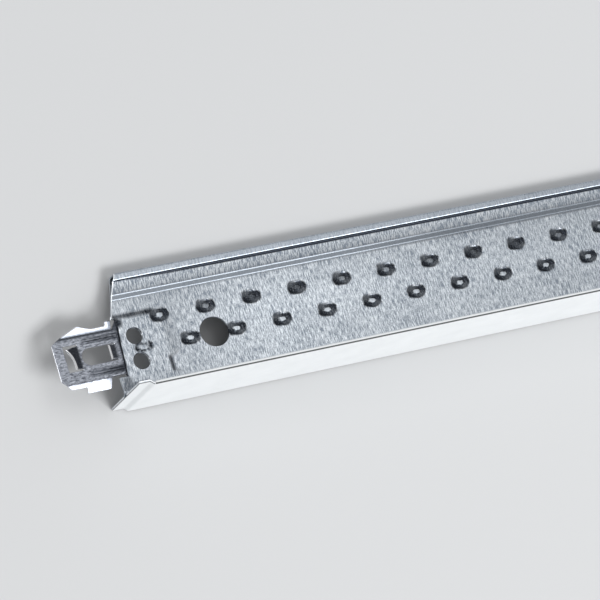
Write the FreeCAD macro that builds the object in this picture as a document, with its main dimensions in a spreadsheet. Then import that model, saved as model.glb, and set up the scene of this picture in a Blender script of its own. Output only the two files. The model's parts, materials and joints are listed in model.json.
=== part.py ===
"""Ceiling grid cross tee, T24, for a 600 mm grid.

The tee is drawn upright: X runs along its length from the middle, Y goes through the web,
Z goes up from the painted face to the bulb. At the end every piece is laid on its side
by one shared placement, the way a loose tee lies on a floor.
"""
import FreeCAD, Part
import math
import os
import re
import Sketcher

SIZES = [
    # overall
    ("module_length", 600, "runner web centre to runner web centre"),
    ("runner_seat", 8.9, "runner web centre to the end of this tee's face"),
    ("tee_height", 33, "painted face to top of bulb"),
    ("face_width", 24, "width of the painted face"),
    # folded strip
    ("strip_gauge", 0.4, "thickness of the folded strip"),
    ("root_radius", 1.0, "bend between web and flange"),
    ("root_groove", 0.4, "groove under the web where the strip turns out both ways"),
    ("bulb_width", 4.0, "width of the hollow bulb"),
    ("bulb_side", 2.0, "height of the bulb's box above its neck"),
    ("bulb_corner", 0.5, "rounding of the bulb's corners"),
    ("neck_width", 2.8, "width of the neck under the bulb's box"),
    ("neck_taper", 3.3, "height of the slope from the band out to the neck"),
    ("band_height", 1.4, "raised band between the web and that slope"),
    ("band_step", 0.22, "step out at the foot and at the top of the band"),
    # painted cap
    ("cap_gauge", 0.3, "thickness of the painted cap"),
    ("hem_return", 3, "width of the hem turned over the flange"),
    ("tongue_length", 3, "raised end of the face that laps a runner"),
    ("tongue_rise", 0.9, "height of that step"),
    ("tongue_ramp", 1.0, "length of its slope"),
    # cope at each end of the web
    ("tab_height", 6.2, "low part of the web that runs to the end of the face"),
    ("cope_low", 2.1, "set-back of the web's end just over the tab"),
    ("cope_high", 3.1, "set-back of the web's end under the bulb cut"),
    ("cope_top", 21.4, "height of the web's end under the bulb cut"),
    ("cope_corner", 2.1, "set-back where the bulb cut starts"),
    ("cope_step", 0.4, "height from there up to the bulb cut"),
    ("bulb_setback", 5.8, "set-back of the bulb's top"),
    # holes in the web
    ("route_diameter", 8, "large hole"),
    ("route_inset", 28.6, "large hole from the end of the face"),
    ("route_height", 13.15, "large hole above the face"),
    ("stake_diameter", 4.5, "two small holes through web and clip"),
    ("stake_inset", 6.9, "small holes from the end of the face"),
    ("stake_height", 9.4, "lower small hole above the face"),
    ("stake_spacing", 6.8, "between the small holes"),
    # stitches pressed through both layers of the web
    ("stitch_length", 4.0, "stitch along the web"),
    ("stitch_width", 2.8, "stitch up the web"),
    ("stitch_chamfer", 0.8, "cut corners of a stitch"),
    ("stitch_slope", 40, "slope of a stitch's sides, degrees"),
    ("stitch_depth", 0.25, "depth in front, and height behind"),
    ("stitch_pitch", 13.14, "between stitches in a row, about"),
    ("stitch_inset", 8.6, "first stitch from the end of the face"),
    ("stitch_low", 12.8, "lower row above the face"),
    ("stitch_high", 20.3, "upper row above the face"),
    # clip: reaches are outward from the end of the face, insets inward
    ("clip_gauge", 0.5, "thickness of the clip's sheet"),
    ("nose_reach", 15.5, "clip's nose"),
    ("nose_low", 7.9, "lower end of the nose"),
    ("nose_high", 17.9, "upper end of the nose"),
    ("panel_low", 7, "lower edge of the flat panel"),
    ("panel_high", 19.1, "upper edge of the flat panel"),
    ("wing_lean", 1.3, "how far the wings' edges stand out of the panel"),
    ("brow_reach", 12.4, "upper wing, first corner"),
    ("brow_height", 19.6, "its height"),
    ("crest_reach", 7.9, "upper wing, crest"),
    ("crest_height", 21.3, "its height"),
    ("dip_reach", 4.2, "upper wing, dip"),
    ("dip_height", 20.2, "its height"),
    ("lug_reach", 0.3, "upper wing, lug beside the web"),
    ("lug_height", 21.2, "its height"),
    ("lug_inset", 1.3, "end of the lug, within the cope"),
    ("chin_reach", 13.05, "lower wing, first corner"),
    ("chin_height", 5.8, "its height"),
    ("catch_height", 4.35, "lower wing, edge behind the catch"),
    ("heel_reach", 2.4, "lower wing, end"),
    ("tail_inset", 14.4, "clip's tail between the web's layers"),
    ("tail_high", 21.4, "upper edge of the tail"),
    ("tail_notch_inset", 12.1, "notch in the tail beside the first upper stitch"),
    ("tail_notch_height", 18, "its height"),
    ("tail_clearance", 0.2, "room round the tail's edges"),
    ("crease_margin", 0.4, "web raised round the tail"),
    ("window_far", 12.75, "window of the lance, far side"),
    ("window_near", 8.85, "window of the lance, near side"),
    ("window_low", 10.1, "lower edge of the window"),
    ("window_high", 17, "upper edge of the window"),
    ("lance_reach", 3.4, "length of the lance at its upper corner"),
    ("lance_heel", 2.2, "length of the lance at its lower corner"),
    ("lance_lift", 1.3, "how far the lance stands out"),
    ("lance_gap", 0.4, "slit above and below the lance"),
    ("lance_round", 6, "rounding of the lance's free edge"),
    ("eye_diameter", 4.6, "round end of the keyhole"),
    ("eye_reach", 6.05, "its centre"),
    ("slot_low", 11, "lower edge of the keyhole's slot"),
    ("slot_high", 15.4, "upper edge of the keyhole's slot"),
    ("tab_inset", 1.2, "root of the small tab in the slot"),
    ("tab_reach", 0.9, "free edge of that tab"),
    ("tab_lift", 0.6, "how far it stands out"),
    ("tab_gap", 0.2, "slit above and below it"),
    ("rib_width", 1.2, "two pressed ribs on the panel"),
    ("rib_proud", 0.3, "how far the ribs stand out"),
    ("rib_slope", 40, "slope of the ribs' sides, degrees"),
    ("rib_reach", 7.2, "outer end of the ribs"),
    ("rib_low", 8.7, "lower rib"),
    ("rib_high", 17.4, "upper rib"),
]

FACE_LENGTH = "(module_length - 2 * runner_seat)"
END = "(-module_length / 2 + runner_seat)"
HEM_HEIGHT = "(2 * cap_gauge + strip_gauge)"
HEM_RADIUS = "(cap_gauge + strip_gauge / 2)"
JOGGLE_END = f"({END} + tongue_length)"
JOGGLE_START = f"({END} + tongue_length + tongue_ramp)"
NECK_TOP = "(tee_height - bulb_side)"
NECK_FOOT = f"({NECK_TOP} - neck_taper)"
BAND_FOOT = f"({NECK_FOOT} - band_height)"
FLANGE_TOP = "(cap_gauge + strip_gauge)"
STAKE_HIGH = "(stake_height + stake_spacing)"
TAIL_LOW = "(tab_height + strip_gauge + tail_clearance)"
STITCH_SPAN = f"({FACE_LENGTH} - 2 * stitch_inset)"
STITCH_STEPS = f"round({STITCH_SPAN} / stitch_pitch)"
STITCH_STEP = f"({STITCH_SPAN} / {STITCH_STEPS})"

doc = FreeCAD.newDocument("cross_tee")
sheet = doc.addObject("Spreadsheet::Sheet", "Sizes")
for row, (alias, value, meaning) in enumerate(SIZES, start=1):
    sheet.set(f"A{row}", meaning)
    sheet.set(f"B{row}", str(value))
    sheet.setAlias(f"B{row}", alias)
doc.recompute()


def bind(text):
    """An expression on the sheet's cells, from plain size names. A word before a bracket stays."""
    return re.sub(r"[a-z_]+\b(?!\()", lambda word: "Sizes." + word.group(0), text)


def number(text):
    return float(sheet.evalExpression(bind(text)))


def place(corner):
    return FreeCAD.Vector(number(corner[0]), number(corner[1]), 0)


def arc_between(start, end, turn, radius):
    """The short arc from start to end, turning left or right."""
    chord = end - start
    side = FreeCAD.Vector(-chord.y, chord.x, 0).normalize()
    rise = math.sqrt(max(radius**2 - chord.Length**2 / 4, 0))
    centre = (start + end) / 2 + side * (rise if turn == "left" else -rise)
    first, last = (start, end) if turn == "left" else (end, start)
    angles = [math.atan2((p - centre).y, (p - centre).x) for p in (first, last)]
    return Part.ArcOfCircle(Part.Circle(centre, FreeCAD.Vector(0, 0, 1), radius), *angles)


def add_size(sketch, text, kind, *references):
    """A dimension of a sketch that follows the sheet."""
    row = sketch.addConstraint(Sketcher.Constraint(kind, *references, number(text)))
    sketch.setExpression(f"Constraints[{row}]", bind(text))


def fix_point(sketch, geometry, end, across, up):
    add_size(sketch, across, "DistanceX", -1, 1, geometry, end)
    add_size(sketch, up, "DistanceY", -1, 1, geometry, end)


def add_outline(sketch, corners):
    """A closed outline. A corner is (across, up), or (across, up, turn, radius) to reach it by an arc."""
    first = sketch.GeometryCount
    ends = []
    for index, corner in enumerate(corners):
        start = place(corners[index - 1])
        if len(corner) == 2:
            sketch.addGeometry(Part.LineSegment(start, place(corner)))
            ends.append((1, 2))
        else:
            turn, radius = corner[2:]
            sketch.addGeometry(arc_between(start, place(corner), turn, number(radius)))
            ends.append((1, 2) if turn == "left" else (2, 1))
    for index, corner in enumerate(corners):
        before = (index - 1) % len(corners)
        joint = (first + before, ends[before][1], first + index, ends[index][0])
        sketch.addConstraint(Sketcher.Constraint("Coincident", *joint))
        fix_point(sketch, first + index, ends[index][1], corner[0], corner[1])
        if len(corner) > 2:
            add_size(sketch, corner[3], "Radius", first + index)


def add_circle(sketch, across, up, diameter):
    circle = Part.Circle(place((across, up)), FreeCAD.Vector(0, 0, 1), number(diameter) / 2)
    index = sketch.addGeometry(circle)
    fix_point(sketch, index, 3, across, up)
    add_size(sketch, diameter, "Diameter", index)


def origin_feature(body, role):
    return next(item for item in body.Origin.OriginFeatures if item.Role == role)


def draw(body, role, name, *outlines, lift=None):
    """A sketch on one of the body's own planes, or lifted off it along its normal."""
    sketch = body.newObject("Sketcher::SketchObject", name)
    sketch.AttachmentSupport = [(origin_feature(body, role), "")]
    sketch.MapMode = "FlatFace"
    if lift:
        sketch.setExpression("AttachmentOffset.Base.z", bind(lift))
    for outline in outlines:
        add_outline(sketch, outline)
    return sketch


def feature(kind, body, sketch, name, length, side="Symmetric", reverse=False, slope=None):
    """A pad or pocket of the given length, narrowing by a slope in degrees."""
    before = body.Tip.Shape.Volume if body.Tip else 0
    item = body.newObject(f"PartDesign::{kind}", name)
    item.Profile = sketch
    item.SideType = side
    item.Reversed = reverse
    item.setExpression("Length", bind(length))
    if slope:
        item.setExpression("TaperAngle", bind(f"-{slope}"))
    doc.recompute()
    gain = item.Shape.Volume - before
    if gain * (1 if kind == "Pad" else -1) <= 0:
        raise RuntimeError(f"{name} changes nothing")
    return item


def box(left, right, low, high):
    return [(left, low), (right, low), (right, high), (left, high)]


def mirrored(half):
    """A corner list for one side, from the middle outwards, closed by its mirror image."""
    other = []
    for index in range(len(half) - 1, -1, -1):
        arc = half[index + 1][2:] if index + 1 < len(half) else ()
        other.append((f"-({half[index][0]})", half[index][1]) + arc)
    return half + other


def from_end(inset):
    return f"({END} + {inset})"


def new_body(label):
    body = doc.addObject("PartDesign::Body", label)
    body.Label = label
    return body


def mirror_ends(body):
    """The second half of a body drawn from its middle to its left end."""
    mirror = body.newObject("PartDesign::Mirrored", f"{body.Name}_both_ends")
    mirror.MirrorPlane = (origin_feature(body, "YZ_Plane"), [""])
    mirror.TransformMode = "Whole shape"
    body.Tip = mirror
    doc.recompute()


def add_section(body):
    """Bulb, neck, band and web, then the flanges, from the middle to the left end."""
    outline = mirrored([
        ("strip_gauge", f"{FLANGE_TOP} + tongue_rise"),
        ("strip_gauge", BAND_FOOT),
        ("strip_gauge + band_step", f"{BAND_FOOT} + band_step"),
        ("strip_gauge + band_step", f"{NECK_FOOT} - band_step"),
        ("strip_gauge + 2 * band_step", NECK_FOOT),
        ("neck_width / 2", NECK_TOP),
        ("bulb_width / 2 - bulb_corner", NECK_TOP),
        ("bulb_width / 2", f"{NECK_TOP} + bulb_corner", "left", "bulb_corner"),
        ("bulb_width / 2", "tee_height - bulb_corner"),
        ("bulb_width / 2 - bulb_corner", "tee_height", "left", "bulb_corner"),
    ])
    hollow = mirrored([
        ("band_step", f"{BAND_FOOT} + strip_gauge"),
        ("band_step", NECK_FOOT),
        ("2 * band_step", f"{NECK_FOOT} + band_step"),
        ("neck_width / 2 - strip_gauge", NECK_TOP),
        ("neck_width / 2 - strip_gauge", f"{NECK_TOP} + strip_gauge"),
        ("bulb_width / 2 - strip_gauge", f"{NECK_TOP} + strip_gauge"),
        ("bulb_width / 2 - strip_gauge", "tee_height - strip_gauge"),
    ])
    half_length = f"{FACE_LENGTH} / 2"
    section = draw(body, "YZ_Plane", "web_section", outline, hollow)
    feature("Pad", body, section, "web_and_bulb", half_length, "One side", True)
    groove = [("0", "cap_gauge + root_groove")]
    flange = groove + mirrored([
        ("root_groove", "cap_gauge"),
        ("face_width / 2 - cap_gauge", "cap_gauge"),
        ("face_width / 2 - cap_gauge", FLANGE_TOP),
        ("strip_gauge + root_radius", FLANGE_TOP),
        ("strip_gauge", f"{FLANGE_TOP} + root_radius", "right", "root_radius"),
        ("strip_gauge", f"{FLANGE_TOP} + root_radius + tongue_rise"),
    ])
    section = draw(body, "YZ_Plane", "flange_section", flange)
    flat_length = f"{half_length} - tongue_length - tongue_ramp"
    feature("Pad", body, section, "flanges", flat_length, "One side", True)
    step = draw(body, "XZ_Plane", "flange_step", tongue_outline("cap_gauge", "strip_gauge"))
    feature("Pad", body, step, "flange_tongue", "face_width - 2 * cap_gauge")


def tail_outline(margin):
    """The clip's tail with room round it, as seen on the web."""
    return [
        (END, f"{TAIL_LOW} - {margin}"),
        (from_end(f"tail_inset + {margin}"), f"{TAIL_LOW} - {margin}"),
        (from_end(f"tail_inset + {margin}"), f"tail_notch_height + {margin}"),
        (from_end(f"tail_notch_inset + {margin}"), f"tail_notch_height + {margin}"),
        (from_end(f"tail_notch_inset + {margin}"), f"tail_high + {margin}"),
        (END, f"tail_high + {margin}"),
    ]


def stitch_outline(along, up):
    """An oblong with cut corners."""
    half_length = "stitch_length / 2"
    half_width = "stitch_width / 2"
    corners = []
    for side, step in (("-", "-"), ("+", "-"), ("+", "+"), ("-", "+")):
        long_corner = (f"{along} {side} ({half_length} - stitch_chamfer)", f"{up} {step} {half_width}")
        wide_corner = (f"{along} {side} {half_length}", f"{up} {step} ({half_width} - stitch_chamfer)")
        corners += [wide_corner, long_corner] if side == step else [long_corner, wide_corner]
    return corners


def add_end(body):
    """The raised web round the clip's tail, the cope and the holes of the left end."""
    crease = draw(body, "XZ_Plane", "crease_outline", tail_outline("(tail_clearance + crease_margin)"))
    feature("Pad", body, crease, "crease_round_tail", "2 * strip_gauge + clip_gauge")
    pocket = draw(body, "XZ_Plane", "tail_pocket_outline", tail_outline("tail_clearance"))
    feature("Pocket", body, pocket, "tail_pocket", "clip_gauge")
    outline = stitch_outline(from_end("stitch_inset"), "stitch_low")
    anchor = draw(body, "XZ_Plane", "anchor_stitch_outline", outline, lift="strip_gauge + clip_gauge / 2")
    feature("Pocket", body, anchor, "anchor_stitch", "stitch_depth", "One side", slope="stitch_slope")
    beyond = f"({END} - cope_high)"
    above = "(tee_height + cope_high)"
    cope = draw(body, "XZ_Plane", "cope_outline", [
        (beyond, "tab_height"),
        (from_end("cope_low"), "tab_height"),
        (from_end("cope_high"), "cope_top"),
        (from_end("cope_corner"), "cope_top + cope_step"),
        (from_end("bulb_setback"), "tee_height"),
        (from_end("bulb_setback"), above),
        (beyond, above),
    ])
    feature("Pocket", body, cope, "end_cope", "face_width")
    holes = draw(body, "XZ_Plane", "web_holes")
    add_circle(holes, from_end("route_inset"), "route_height", "route_diameter")
    add_circle(holes, from_end("stake_inset"), "stake_height", "stake_diameter")
    add_circle(holes, from_end("stake_inset"), STAKE_HIGH, "stake_diameter")
    feature("Pocket", body, holes, "route_and_stake_holes", "face_width")


def add_stitch_row(body, name, first, up, count):
    """A row of stitches: pressed in on the front of the web, standing out behind."""
    outline = stitch_outline(first, up)
    front = draw(body, "XZ_Plane", f"{name}_front", outline, lift="strip_gauge")
    dent = feature("Pocket", body, front, f"{name}_dent", "stitch_depth", "One side", slope="stitch_slope")
    rear = draw(body, "XZ_Plane", f"{name}_rear", outline, lift="-strip_gauge")
    bump = feature("Pad", body, rear, f"{name}_bump", "stitch_depth", "One side", True, slope="stitch_slope")
    pattern = body.newObject("PartDesign::LinearPattern", f"{name}_row")
    pattern.Originals = [dent, bump]
    pattern.Direction = (origin_feature(body, "X_Axis"), [""])
    pattern.Mode = "Spacing"
    pattern.setExpression("Offset", bind(STITCH_STEP))
    pattern.setExpression("Occurrences", bind(count))
    body.Tip = pattern
    doc.recompute()


def make_tee_body():
    """One strip folded into a hollow bulb, a web of two layers and two flanges."""
    body = new_body("tee_body")
    add_section(body)
    add_end(body)
    mirror_ends(body)
    lower = from_end(f"(stitch_inset + {STITCH_STEP})")
    upper = from_end(f"(stitch_inset + {STITCH_STEP} / 2)")
    add_stitch_row(body, "lower_stitch", lower, "stitch_low", f"{STITCH_STEPS} - 1")
    add_stitch_row(body, "upper_stitch", upper, "stitch_high", STITCH_STEPS)
    return body


def tongue_outline(low, gauge):
    """Side view of one sheet of the face where it steps up at the end."""
    return [
        (JOGGLE_START, low),
        (JOGGLE_START, f"{low} + {gauge}"),
        (JOGGLE_END, f"{low} + {gauge} + tongue_rise"),
        (END, f"{low} + {gauge} + tongue_rise"),
        (END, f"{low} + tongue_rise"),
        (JOGGLE_END, f"{low} + tongue_rise"),
    ]


def make_face_cap():
    """The painted strip under the flanges, hemmed round both edges."""
    body = new_body("face_cap")
    hem = mirrored([
        (f"face_width / 2 - {HEM_RADIUS}", "0"),
        ("face_width / 2", HEM_RADIUS, "left", HEM_RADIUS),
        (f"face_width / 2 - {HEM_RADIUS}", HEM_HEIGHT, "left", HEM_RADIUS),
        ("face_width / 2 - hem_return", HEM_HEIGHT),
        ("face_width / 2 - hem_return", FLANGE_TOP),
        ("face_width / 2 - cap_gauge", FLANGE_TOP),
        ("face_width / 2 - cap_gauge", "cap_gauge"),
    ])
    section = draw(body, "YZ_Plane", "cap_section", hem)
    hem_length = f"{FACE_LENGTH} / 2 - tongue_length - tongue_ramp"
    feature("Pad", body, section, "hemmed_cap", hem_length, "One side", True)
    step = draw(body, "XZ_Plane", "cap_step", tongue_outline("0", "cap_gauge"))
    feature("Pad", body, step, "cap_tongue", f"face_width - 2 * {HEM_RADIUS}")
    mirror_ends(body)
    return body


def add_clip_head(body):
    """The panel and its two leaning wings, cut to their outline, and the flat tail."""
    half = "clip_gauge / 2"
    section = draw(body, "YZ_Plane", "clip_section", [
        (half, "panel_low"),
        (half, "panel_high"),
        (f"{half} - wing_lean", "crest_height"),
        (f"-{half} - wing_lean", "crest_height"),
        (f"-{half}", "panel_high"),
        (f"-{half}", "panel_low"),
        (f"-{half} + wing_lean", "catch_height"),
        (f"{half} + wing_lean", "catch_height"),
    ])
    head = feature("Pad", body, section, "clip_head", "nose_reach", "Two sides", True)
    head.setExpression("Length2", bind("lug_inset"))
    beyond = "-(nose_reach + clip_gauge)"
    inside = "(lug_inset + clip_gauge)"
    above = "(crest_height + clip_gauge)"
    below = "(catch_height - clip_gauge)"
    upper = draw(body, "XZ_Plane", "upper_edge_outline", [
        (beyond, "nose_high"),
        ("-nose_reach", "nose_high"),
        ("-brow_reach", "brow_height"),
        ("-crest_reach", "crest_height"),
        ("-dip_reach", "dip_height"),
        ("-lug_reach", "dip_height"),
        ("-lug_reach", "lug_height"),
        (inside, "lug_height"),
        (inside, above),
        (beyond, above),
    ])
    feature("Pocket", body, upper, "upper_edge", "face_width")
    lower = draw(body, "XZ_Plane", "lower_edge_outline", [
        (beyond, "nose_low"),
        (beyond, below),
        (inside, below),
        (inside, "panel_low"),
        ("-heel_reach + clip_gauge", "panel_low"),
        ("-heel_reach", "catch_height"),
        ("-runner_seat", "catch_height"),
        ("-runner_seat", "chin_height"),
        ("-chin_reach", "chin_height"),
        ("-nose_reach", "nose_low"),
    ])
    feature("Pocket", body, lower, "lower_edge", "face_width")
    tail = draw(body, "XZ_Plane", "tail_outline", [
        ("lug_inset", "panel_low"),
        ("cope_high", TAIL_LOW),
        ("tail_inset", TAIL_LOW),
        ("tail_inset", "tail_notch_height"),
        ("tail_notch_inset", "tail_notch_height"),
        ("tail_notch_inset", "tail_high"),
        ("cope_high", "tail_high"),
        ("lug_inset", "panel_high"),
    ])
    feature("Pad", body, tail, "clip_tail", "clip_gauge")


def add_clip_openings(body):
    """The lance's window, the keyhole and the two small holes shared with the web."""
    ribs = [box("-rib_reach", "lug_inset", f"{middle} - rib_width / 2", f"{middle} + rib_width / 2")
            for middle in ("rib_low", "rib_high")]
    sketch = draw(body, "XZ_Plane", "rib_outlines", *ribs, lift="clip_gauge / 2")
    feature("Pad", body, sketch, "ribs", "rib_proud", "One side", slope="rib_slope")
    windows = draw(body, "XZ_Plane", "window_outlines",
                   box("-window_far", "-window_near", "window_low", "window_high"),
                   box("-eye_reach", "tab_inset", "slot_low", "slot_high"))
    feature("Pocket", body, windows, "windows", "face_width")
    holes = draw(body, "XZ_Plane", "hole_outlines")
    add_circle(holes, "-eye_reach", "(slot_low + slot_high) / 2", "eye_diameter")
    add_circle(holes, "stake_inset", "stake_height", "stake_diameter")
    add_circle(holes, "stake_inset", STAKE_HIGH, "stake_diameter")
    feature("Pocket", body, holes, "eye_and_stake_holes", "face_width")


def add_bent_tab(body, name, root, tip, lift, low, high):
    """A tongue of the sheet, bent out in front from its root to its tip."""
    half = "clip_gauge / 2"
    side = draw(body, "XY_Plane", f"{name}_side", [
        (root, f"-{half}"),
        (root, half),
        (tip, f"{half} - {lift}"),
        (tip, f"-{half} - {lift}"),
    ], lift=low)
    feature("Pad", body, side, name, f"{high} - ({low})", "One side")


def make_end_clip(label):
    """A pressed sheet clip, drawn with X = 0 at the end of the tee's face."""
    body = new_body(label)
    add_clip_head(body)
    add_clip_openings(body)
    lance_low = "window_low + lance_gap"
    lance_high = "window_high - lance_gap"
    lance_tip = "(window_near + lance_reach)"
    add_bent_tab(body, "lance", "-window_near", f"-{lance_tip}", "lance_lift", lance_low, lance_high)
    edge = draw(body, "XZ_Plane", "lance_edge_outline", [
        (f"-{lance_tip}", "window_low"),
        ("-window_near - lance_heel", "window_low"),
        (f"-{lance_tip}", lance_high, "left", "lance_round"),
    ])
    feature("Pocket", body, edge, "lance_edge", "face_width")
    tab_low = "slot_low + tab_gap"
    tab_high = "slot_high - tab_gap"
    add_bent_tab(body, "small_tab", "tab_inset", "-tab_reach", "tab_lift", tab_low, tab_high)
    return body


def resting_placement():
    """The tee on its side: one hem and one top corner of the bulb touch the floor."""
    hem = number(HEM_RADIUS)
    corner = number("bulb_corner")
    hem_across = number("face_width / 2") - hem
    bulb_across = number("bulb_width / 2") - corner
    bulb_up = number("tee_height") - corner
    across = hem_across - bulb_across
    up = bulb_up - hem
    tilt = math.atan2(across, up) + math.asin((hem - corner) / math.hypot(across, up))
    cosine, sine = math.cos(tilt), math.sin(tilt)
    lift = cosine * hem_across + sine * hem + hem
    back = sine * bulb_across + cosine * bulb_up + corner
    front = -sine * hem_across + cosine * hem - hem
    turn = FreeCAD.Rotation(FreeCAD.Vector(1, 0, 0), -90 - math.degrees(tilt))
    return FreeCAD.Placement(FreeCAD.Vector(0, -(back + front) / 2, lift), turn)


def main():
    long_pieces = [make_tee_body(), make_face_cap()]
    clips = [make_end_clip("end_clip_left"), make_end_clip("end_clip_right")]
    lying = resting_placement()
    for piece in long_pieces:
        piece.Placement = lying
    half_face = number(FACE_LENGTH) / 2
    for clip, end, turn in zip(clips, (-half_face, half_face), (0, 180)):
        about_height = FreeCAD.Rotation(FreeCAD.Vector(0, 0, 1), turn)
        clip.Placement = lying * FreeCAD.Placement(FreeCAD.Vector(end, 0, 0), about_height)
    doc.recompute()
    for item in doc.Objects:
        if {"Invalid", "Error"} & set(item.State):
            raise RuntimeError(f"{item.Name}: {item.State}")
    os.makedirs("parts", exist_ok=True)
    for piece in long_pieces + clips:
        if piece.Shape.isNull() or not piece.Shape.isValid() or len(piece.Shape.Solids) != 1:
            raise RuntimeError(f"{piece.Label} is not one valid solid")
    for piece in long_pieces + clips:
        piece.Shape.exportStep(f"parts/{piece.Label}.step")
        print(piece.Label, round(piece.Shape.Volume, 1), "mm3", piece.Shape.BoundBox)


main()
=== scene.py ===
import json
import math

import bpy
import numpy as np
from mathutils import Matrix, Vector
from mathutils.geometry import delaunay_2d_cdt


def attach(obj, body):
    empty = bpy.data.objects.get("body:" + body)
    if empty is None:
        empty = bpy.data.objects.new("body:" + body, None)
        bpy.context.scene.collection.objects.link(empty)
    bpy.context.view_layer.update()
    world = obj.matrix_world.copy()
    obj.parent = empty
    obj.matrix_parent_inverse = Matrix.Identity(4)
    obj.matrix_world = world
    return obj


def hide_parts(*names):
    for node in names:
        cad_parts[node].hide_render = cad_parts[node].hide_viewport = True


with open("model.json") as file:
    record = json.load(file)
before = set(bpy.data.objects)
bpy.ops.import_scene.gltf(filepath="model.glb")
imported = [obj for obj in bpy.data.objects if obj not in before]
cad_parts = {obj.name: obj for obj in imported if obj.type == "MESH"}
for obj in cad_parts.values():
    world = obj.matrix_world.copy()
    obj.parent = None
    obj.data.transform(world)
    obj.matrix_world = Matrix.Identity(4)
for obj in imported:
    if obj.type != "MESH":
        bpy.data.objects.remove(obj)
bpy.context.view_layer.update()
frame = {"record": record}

# Sizes are in millimetres and drawn in the tee's own upright frame: X runs along the length from
# the middle, Y goes through the web with the front at minus Y, Z goes up from the painted face.
# An inset is a distance from the nearer end of the face. Each sheet is cut flat and then folded:
# a place on its blank is along the length and along the run of its section.
# A pair that a fade uses is where the effect starts and where it is full.
MM = 0.001
NEAR = 0.01
FAR_OFF = 99.0
HALF_FACE = 291.1
TEE_HEIGHT = 33.0
FACE_WIDTH = 24.0
CHAMFER = 0.08
SHARP_ANGLE = 32
CORNER_SHARE = 0.4
MITRE_LIMIT = 0.3
MERGE = 1e-5
COLUMN = 13.2
COLUMN_INSET = 8.0
BEYOND = 1.0

# Folded strip
STRIP = 0.4
LAYER_GAP = 0.01
ROOT_RADIUS = 1.0
ROOT_POINTS = 7
BULB_WIDTH = 4.0
BULB_SIDE = 2.0
BULB_CORNER = 0.5
BULB_POINTS = 8
NECK_WIDTH = 2.8
NECK_FOOT = 27.7
NECK_TOP = TEE_HEIGHT - BULB_SIDE
UNDER_BULB = 0.08
BAND_FOOT = 26.3
STEP_OUT = 0.15
STEP_RISE = 0.18
STEP_POINTS = 6
SHADE_BELOW_BAND = (0.75, 0.3, 0.05)
SHADE_ABOVE_BAND = (0.06, 0.3, 0.65)
SHADE_BELOW_BULB = (0.72, 0.42)

# Painted cap: hem angles are in degrees round the hem, the face is at -90
CAP = 0.3
HEM_RADIUS = 0.5
HEM_RETURN = 3.0
HEM_POINTS = 25
HEM_CREASE = -47.0
HEM_CREASE_HALF = 28.0
HEM_CREASE_FADE = (1.53, 1.0)
HEM_CREASE_DEPTH = 0.1
TONGUE = 3.0
TONGUE_RISE = 0.9
TONGUE_RAMP = 1.0
RAMP_SOFT = 0.2
RAMP_ROWS = 9
RAMP_ROW_TOP = 0.9
JOGGLE_TOP = 4.0
HEM_STOP = TONGUE + TONGUE_RAMP + 0.3

# The clip's tail between the web's layers: the inset of its end, and its lower and upper edge
TAIL_END = 14.4
TAIL_LOW = 6.8
TAIL_HIGH = 21.4

# Cope and holes of the web, as insets and heights
COPE = ((2.1, 6.2), (3.1, TAIL_HIGH), (2.1, 21.8), (5.8, TEE_HEIGHT))
COPE_MARGIN = (0.2, 0.1)
ROUTE_HOLE = (28.6, 13.15, 4.0)
STAKE_HOLES = ((6.9, 9.4, 2.25), (6.9, 16.2, 2.25))
WEB_HOLE_POINTS = 72
# Where the painted highlight on the cut end above the clip fades, as insets from it
CUT_HIGHLIGHT_WIDTH = (0.16, 0.26)

# Stitches: in one, the reach is 0 at its centre and 1 at its rim
STITCH_INSET = 8.6
STITCH_STEPS = 43
STITCH_STEP = 2 * (HALF_FACE - STITCH_INSET) / STITCH_STEPS
STITCH_LOW = 12.8
STITCH_HIGH = 20.3
STITCH_HALF = (2.6, 1.75)
STITCH_SKEW = 0.1
STITCH_TILT = 0.2
STITCH_SQUARE = 4
STITCH_CUT = 1.35
STITCH_DEPTH = 0.32
STITCH_WALL = (1.06, 0.8)
STITCH_CORNERS = (0.8, 0.25)
CORNER_TURN = 4
STITCH_SPOKES = 22
BUTTON_RISE = 0.3
BUTTON_EDGE = 0.46
STITCH_RINGS = (1.24, 1.12, 1.02, 0.92, 0.8, BUTTON_EDGE, 0.39, 0.31, 0.17)
BUTTON_WALL = (BUTTON_EDGE, 0.32)
ANCHOR_REACH = (0, 0.66, 0.92, 3)
PLAIN_REACH = (0, BUTTON_EDGE, 1, 3)
ANCHOR_FLATTER = 1.3

# Creases of the web over the clip's tail
TAIL_FADE = 4.6
CREASE = 0.9
CORNER_CREASE_LOW = (4.2, 6.0)
CORNER_CREASE_HIGH = (10.0, 9.0)
NOTCH = (3.6, 20.4, 1.25)
NOTCH_EDGE = 1.4
NOTCH_DEPTH = 0.25
CREASE_GRID = 0.45
CREASE_INSETS = (1.0, 17.0)
CREASE_HEIGHTS = (2.75, 24.0)
CREASE_CLEAR = 1.2

# Painted shade and painted highlights on the strip, and a faint darkening: amounts go from 0 to about 1,
# waves are along, up and their phase
RAGGED = 0.08
RAGGED_WAVES = ((4.7, 2.0, 0), (-1.0, 5.9, 0))
# The stitches' rings get painted shade, their buttons a painted highlight
RING_FADE = (1.15, 0.95)
RING_CORNERS = (0.9, 0.12)
BUTTON_HIGHLIGHT = (0.41, 0.31)
LOWER_BUTTON = 0.95
ANCHOR_BUTTON = 0.7
UPPER_END_BUTTON = 0.9
UPPER_BUTTON = (0.25, 0.25, 1.25)
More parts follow.
